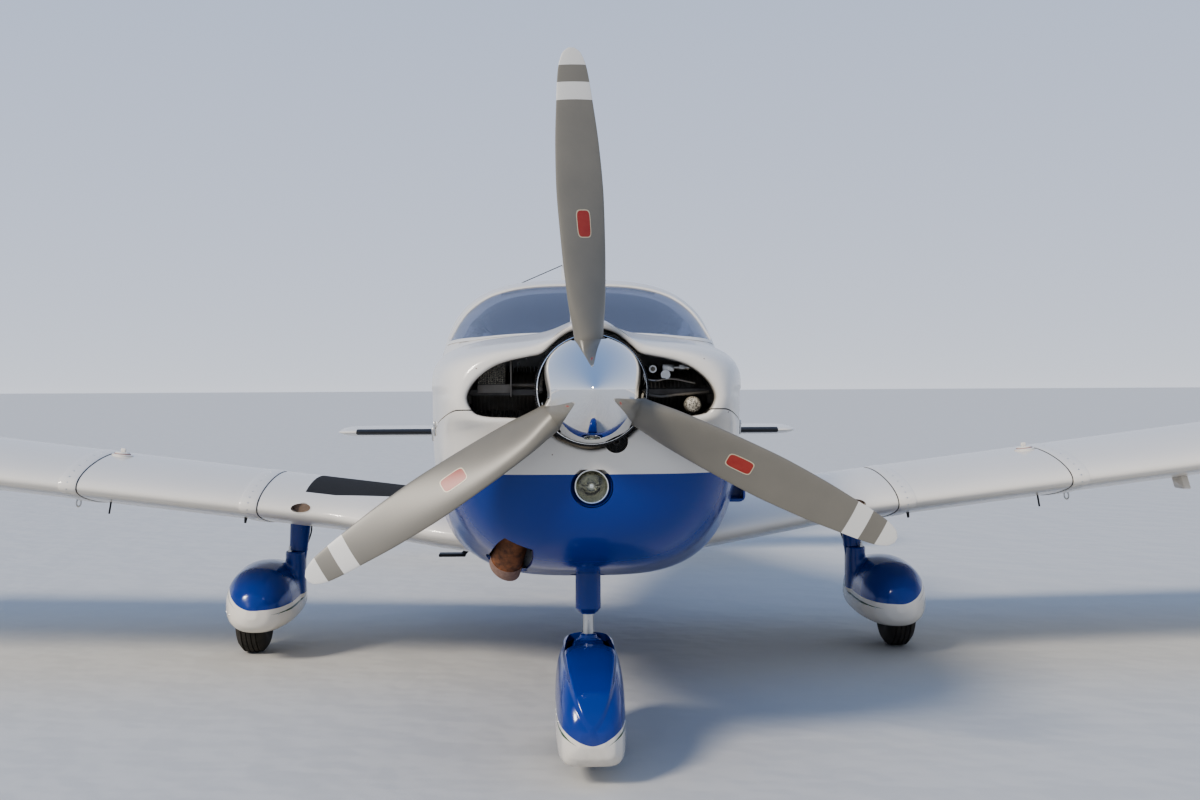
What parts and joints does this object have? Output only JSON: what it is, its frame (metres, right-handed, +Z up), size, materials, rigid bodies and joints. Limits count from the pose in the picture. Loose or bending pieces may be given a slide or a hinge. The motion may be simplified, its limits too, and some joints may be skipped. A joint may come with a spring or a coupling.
{
  "type": "light aircraft",
  "caption": "Low-wing light aircraft with a fixed tricycle undercarriage in wheel fairings, a variable-pitch nose propeller and an all-moving tailplane.",
  "frame": {"origin": "on the ground, below the middle of the aircraft's length and span", "axes": "+X to the aircraft's left wing tip, +Y from the nose to the tail, +Z up"},
  "size_m": [9.75, 7.3399, 2.29],
  "materials": {
    "white_paint": "gloss creamy white paint",
    "blue_paint": "gloss royal blue paint",
    "blade_paint": "satin warm grey paint with white tip bands",
    "polished_chrome": "polished",
    "bare_steel": "bare, satin",
    "engine_metal": "dull grey metal with baffles",
    "exhaust_metal": "heat-stained rusty brown",
    "lamp_glass": "clear lens over a bright reflector",
    "beacon_glass": "red lens",
    "black_paint": "matt black",
    "tyre_rubber": "worn rubber",
    "wheel_paint": "gloss white paint",
    "seat_fabric": "woven grey",
    "glass": "blue-tinted clear acrylic"
  },
  "bodies": {
    "airframe": {"cabin_roof": "white_paint", "cabin_side_left": "white_paint", "cabin_side_right": "white_paint", "cabin_floor": "white_paint", "tail_cone": "white_paint", "cowl_upper": "white_paint", "fin": "white_paint", "wing_left": "white_paint", "fuel_tank_left": "white_paint", "wing_tip_left": "white_paint", "main_leg_left": "blue_paint", "main_spat_left": "blue_paint", "windshield_left": "glass", "wing_right": "white_paint", "fuel_tank_right": "white_paint", "wing_tip_right": "white_paint", "main_leg_right": "blue_paint", "main_spat_right": "blue_paint", "windshield_right": "glass", "cowl_lower": "blue_paint", "nose_leg": "blue_paint", "firewall": "bare_steel", "engine_block": "engine_metal", "exhaust_pipe": "exhaust_metal", "landing_light": "lamp_glass", "pitot_mast": "white_paint", "beacon": "beacon_glass", "entry_step": "black_paint", "instrument_panel": "black_paint", "seat_front_left": "seat_fabric", "seat_front_right": "seat_fabric", "rear_seat": "seat_fabric", "window_left_front": "glass", "window_left_rear": "glass", "window_left_aft": "glass", "window_right_rear": "glass", "window_right_aft": "glass"},
    "propeller": {"spinner": "polished_chrome", "propeller_hub": "bare_steel", "propeller_blade_1": "blade_paint", "propeller_blade_2": "blade_paint", "propeller_blade_3": "blade_paint"},
    "cabin_door": {"cabin_door": "white_paint", "door_window": "glass"},
    "baggage_door": {"baggage_door": "white_paint"},
    "flap_left": {"flap_left": "white_paint"},
    "flap_right": {"flap_right": "white_paint"},
    "aileron_left": {"aileron_left": "white_paint"},
    "aileron_right": {"aileron_right": "white_paint"},
    "tailplane": {"tailplane": "white_paint"},
    "tailplane_tab": {"tailplane_tab": "white_paint"},
    "rudder": {"rudder": "white_paint"},
    "nose_gear": {"nose_fork": "bare_steel", "nose_spat": "blue_paint"},
    "nose_wheel": {"nose_tyre": "tyre_rubber", "nose_rim": "wheel_paint"},
    "main_wheel_left": {"main_tyre_left": "tyre_rubber", "main_rim_left": "wheel_paint"},
    "main_wheel_right": {"main_tyre_right": "tyre_rubber", "main_rim_right": "wheel_paint"}
  },
  "joints": [
    {"name": "propeller_spin", "type": "hinge", "parent": "airframe", "child": "propeller", "pos_m": [0, -3.41, 1.25], "axis": [0, -1, 0], "continuous": true},
    {"name": "cabin_door_swing", "type": "hinge", "parent": "airframe", "child": "cabin_door", "pos_m": [-0.581, -1.4845, 1.26], "axis": [0, 0, 1], "range_deg": [0, 75]},
    {"name": "baggage_door_swing", "type": "hinge", "parent": "airframe", "child": "baggage_door", "pos_m": [-0.504, 0.3255, 1.02], "axis": [0, 0, 1], "range_deg": [0, 90]},
    {"name": "flap_left_lower", "type": "hinge", "parent": "airframe", "child": "flap_left", "pos_m": [1.73223, -0.118, 0.70968], "axis": [-0.9909, 0, -0.1344], "range_deg": [0, 40]},
    {"name": "flap_right_lower", "type": "hinge", "parent": "airframe", "child": "flap_right", "pos_m": [-1.73223, -0.118, 0.70968], "axis": [-0.9909, 0, 0.1344], "range_deg": [0, 40]},
    {"name": "aileron_left_swing", "type": "hinge", "parent": "airframe", "child": "aileron_left", "pos_m": [3.68506, -0.148, 1.01104], "axis": [0.9917, 0, 0.1289], "range_deg": [-15, 30]},
    {"name": "aileron_right_swing", "type": "hinge", "parent": "airframe", "child": "aileron_right", "pos_m": [-3.68506, -0.148, 1.01104], "axis": [-0.9917, 0, 0.1289], "range_deg": [-30, 15]},
    {"name": "tailplane_pitch", "type": "hinge", "parent": "airframe", "child": "tailplane", "pos_m": [0, 3.01, 0.94], "axis": [1, 0, 0], "range_deg": [-2, 14]},
    {"name": "tailplane_tab_swing", "type": "hinge", "parent": "tailplane", "child": "tailplane_tab", "pos_m": [0, 3.428, 0.94], "axis": [1, 0, 0], "range_deg": [-2, 10]},
    {"name": "rudder_swing", "type": "hinge", "parent": "airframe", "child": "rudder", "pos_m": [0, 3.242, 1], "axis": [0, 0.1222, 0.9925], "range_deg": [-27, 27]},
    {"name": "nose_gear_steer", "type": "hinge", "parent": "airframe", "child": "nose_gear", "pos_m": [0, -2.74, 0.5], "axis": [0, 0, -1], "range_deg": [-30, 30]},
    {"name": "nose_wheel_spin", "type": "hinge", "parent": "nose_gear", "child": "nose_wheel", "pos_m": [0, -2.74, 0.186], "axis": [1, 0, 0], "continuous": true},
    {"name": "main_wheel_left_spin", "type": "hinge", "parent": "airframe", "child": "main_wheel_left", "pos_m": [1.54, -0.65, 0.195], "axis": [1, 0, 0], "continuous": true},
    {"name": "main_wheel_right_spin", "type": "hinge", "parent": "airframe", "child": "main_wheel_right", "pos_m": [-1.54, -0.65, 0.195], "axis": [1, 0, 0], "continuous": true}
  ],
  "couplings": [
    {"joint": "flap_right_lower", "follows": "flap_left_lower", "ratio": 1},
    {"joint": "tailplane_tab_swing", "follows": "tailplane_pitch", "ratio": 0.7},
    {"joint": "rudder_swing", "follows": "nose_gear_steer", "ratio": 0.9}
  ]
}
